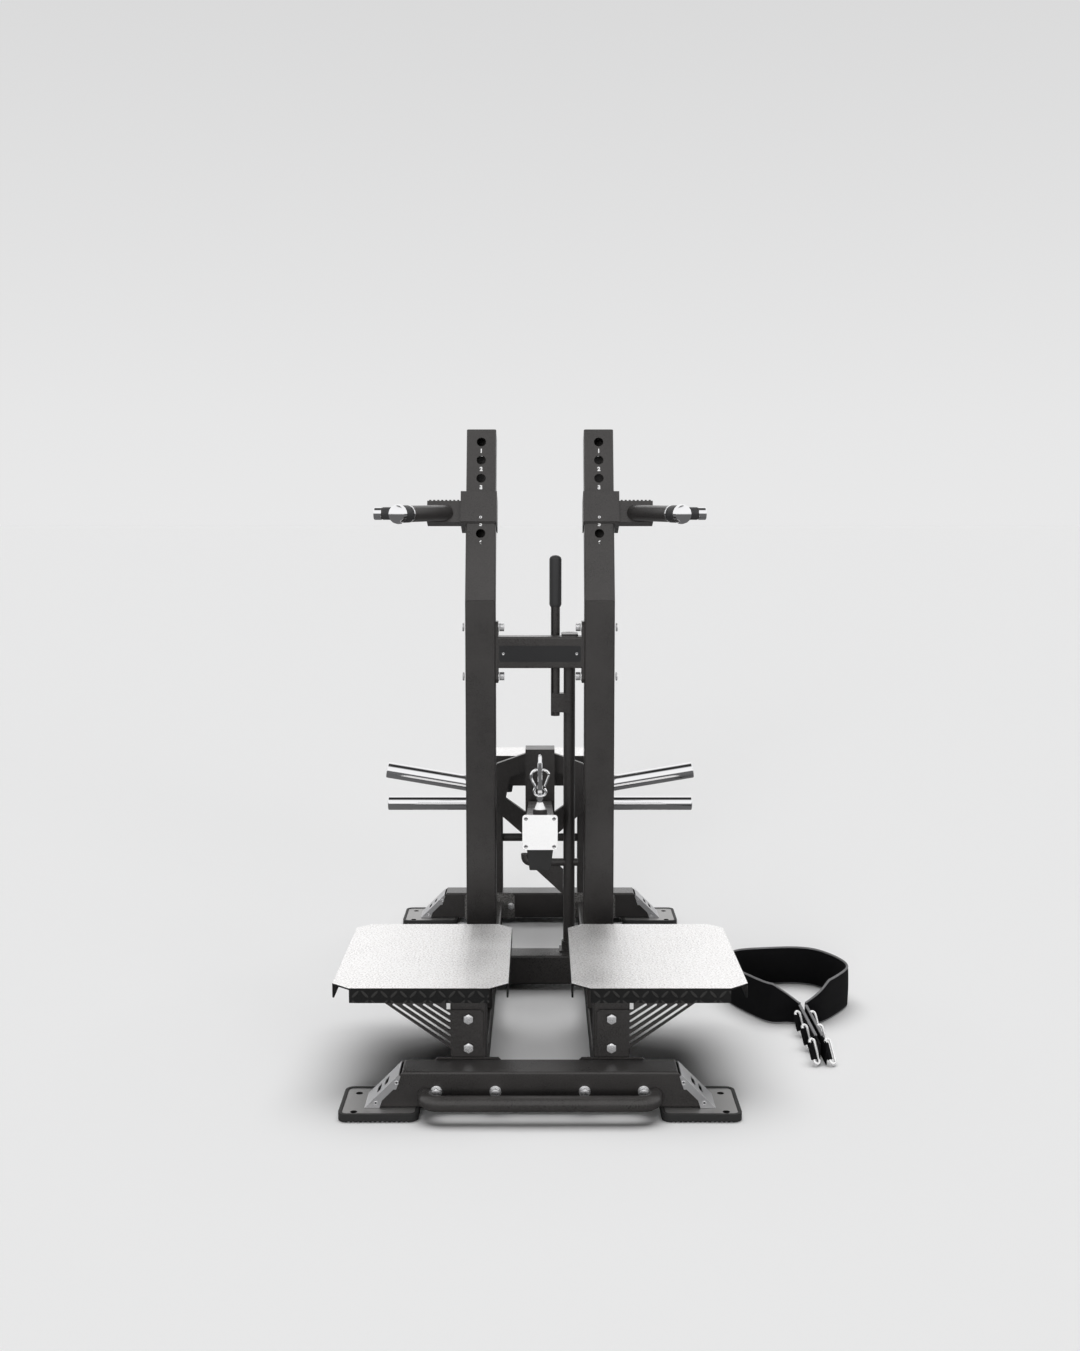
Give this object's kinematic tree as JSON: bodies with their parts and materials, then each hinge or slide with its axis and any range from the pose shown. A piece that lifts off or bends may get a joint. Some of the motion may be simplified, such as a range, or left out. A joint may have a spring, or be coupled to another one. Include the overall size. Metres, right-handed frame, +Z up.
{
  "type": "belt squat machine",
  "caption": "Plate-loaded belt squat machine with two treaded decks, leaning uprights with sliding handles, a pivoting lever arm, a release latch, and a hip belt on the floor beside it.",
  "frame": {"origin": "middle of the underside of the bounding box, on the floor", "axes": "+Y from the user towards the rear tower, +X to the right of a user who faces the uprights, +Z up"},
  "size_m": [1.445, 2.0026, 1.7185],
  "materials": {
    "powder_coat": "anthracite powder coat with a fine grain",
    "deck_tread": "bare steel tread plate with a fine grit",
    "chrome": "polished chrome",
    "bright_sheet": "satin steel sheet",
    "rubber": "matt black moulded rubber",
    "webbing": "black padded webbing with a grey bound edge"
  },
  "bodies": {
    "frame": {"front_beam": "powder_coat", "rear_beam": "powder_coat", "mid_beam": "powder_coat", "left_rail": "powder_coat", "right_rail": "powder_coat", "left_front_shoe": "rubber", "right_front_shoe": "rubber", "left_rear_shoe": "rubber", "right_rear_shoe": "rubber", "left_front_end_cap": "bright_sheet", "right_front_end_cap": "bright_sheet", "left_rear_end_cap": "bright_sheet", "right_rear_end_cap": "bright_sheet", "front_grip_bar": "powder_coat", "left_front_column": "powder_coat", "right_front_column": "powder_coat", "left_front_gusset": "powder_coat", "right_front_gusset": "powder_coat", "left_rear_column": "powder_coat", "right_rear_column": "powder_coat", "left_rear_gusset": "powder_coat", "right_rear_gusset": "powder_coat", "left_deck": "deck_tread", "right_deck": "deck_tread", "left_upright": "powder_coat", "right_upright": "powder_coat", "left_upright_top": "powder_coat", "right_upright_top": "powder_coat", "tie_beam": "powder_coat", "left_storage_horn": "chrome", "right_storage_horn": "chrome", "left_rear_post": "powder_coat", "right_rear_post": "powder_coat", "crosshead": "powder_coat", "left_stop_bumper": "rubber", "right_stop_bumper": "rubber", "arm_axle": "powder_coat", "latch_bearing": "powder_coat", "belt_band": "webbing", "belt_left_tongue": "webbing", "belt_right_tongue": "webbing"},
    "arm": {"lever_arm": "powder_coat", "nose_plate": "bright_sheet", "nose_bumper": "rubber", "weight_carrier": "powder_coat", "left_load_horn": "chrome", "right_load_horn": "chrome"},
    "hook": {"hook_body": "chrome"},
    "gate": {"hook_gate": "chrome"},
    "latch": {"latch_pole": "powder_coat", "latch_bar": "powder_coat", "latch_grip": "rubber"},
    "left_handle": {"left_carriage": "powder_coat", "left_side_cap": "chrome", "left_front_cap": "chrome"},
    "right_handle": {"right_carriage": "powder_coat", "right_side_cap": "chrome", "right_front_cap": "chrome"},
    "left_pin": {"left_pull_pin": "chrome"},
    "right_pin": {"right_pull_pin": "chrome"}
  },
  "joints": [
    {"name": "arm_pivot", "type": "hinge", "parent": "frame", "child": "arm", "pos_m": [-0.20153, 0.85765, 0.303], "axis": [-1, 0, 0], "range_deg": [0, 16]},
    {"name": "hook_swivel", "type": "hinge", "parent": "arm", "child": "hook", "pos_m": [-0.20153, -0.32735, 0.64], "axis": [0, 0, 1], "continuous": true},
    {"name": "hook_gate", "type": "hinge", "parent": "hook", "child": "gate", "pos_m": [-0.18853, -0.32735, 0.698], "axis": [0, -1, 0], "range_deg": [0, 20], "stiffness_Nm_per_rad": 0.03, "springref_deg": -22.92},
    {"name": "latch_swing", "type": "hinge", "parent": "frame", "child": "latch", "pos_m": [-0.11153, 0.11265, 0.386], "axis": [0, 0, -1], "range_deg": [0, 90]},
    {"name": "left_handle_slide", "type": "slide", "parent": "frame", "child": "left_handle", "axis": [0, 0.3173, 0.9483], "range_m": [-0.0584, 0.2336]},
    {"name": "left_pin_pull", "type": "slide", "parent": "left_handle", "child": "left_pin", "axis": [0, 0.9483, -0.3173], "range_m": [0, 0.016], "stiffness_N_per_m": 900, "springref_m": -0.01},
    {"name": "right_handle_slide", "type": "slide", "parent": "frame", "child": "right_handle", "axis": [0, 0.3173, 0.9483], "range_m": [-0.0584, 0.2336]},
    {"name": "right_pin_pull", "type": "slide", "parent": "right_handle", "child": "right_pin", "axis": [0, 0.9483, -0.3173], "range_m": [0, 0.016], "stiffness_N_per_m": 900, "springref_m": -0.01}
  ]
}
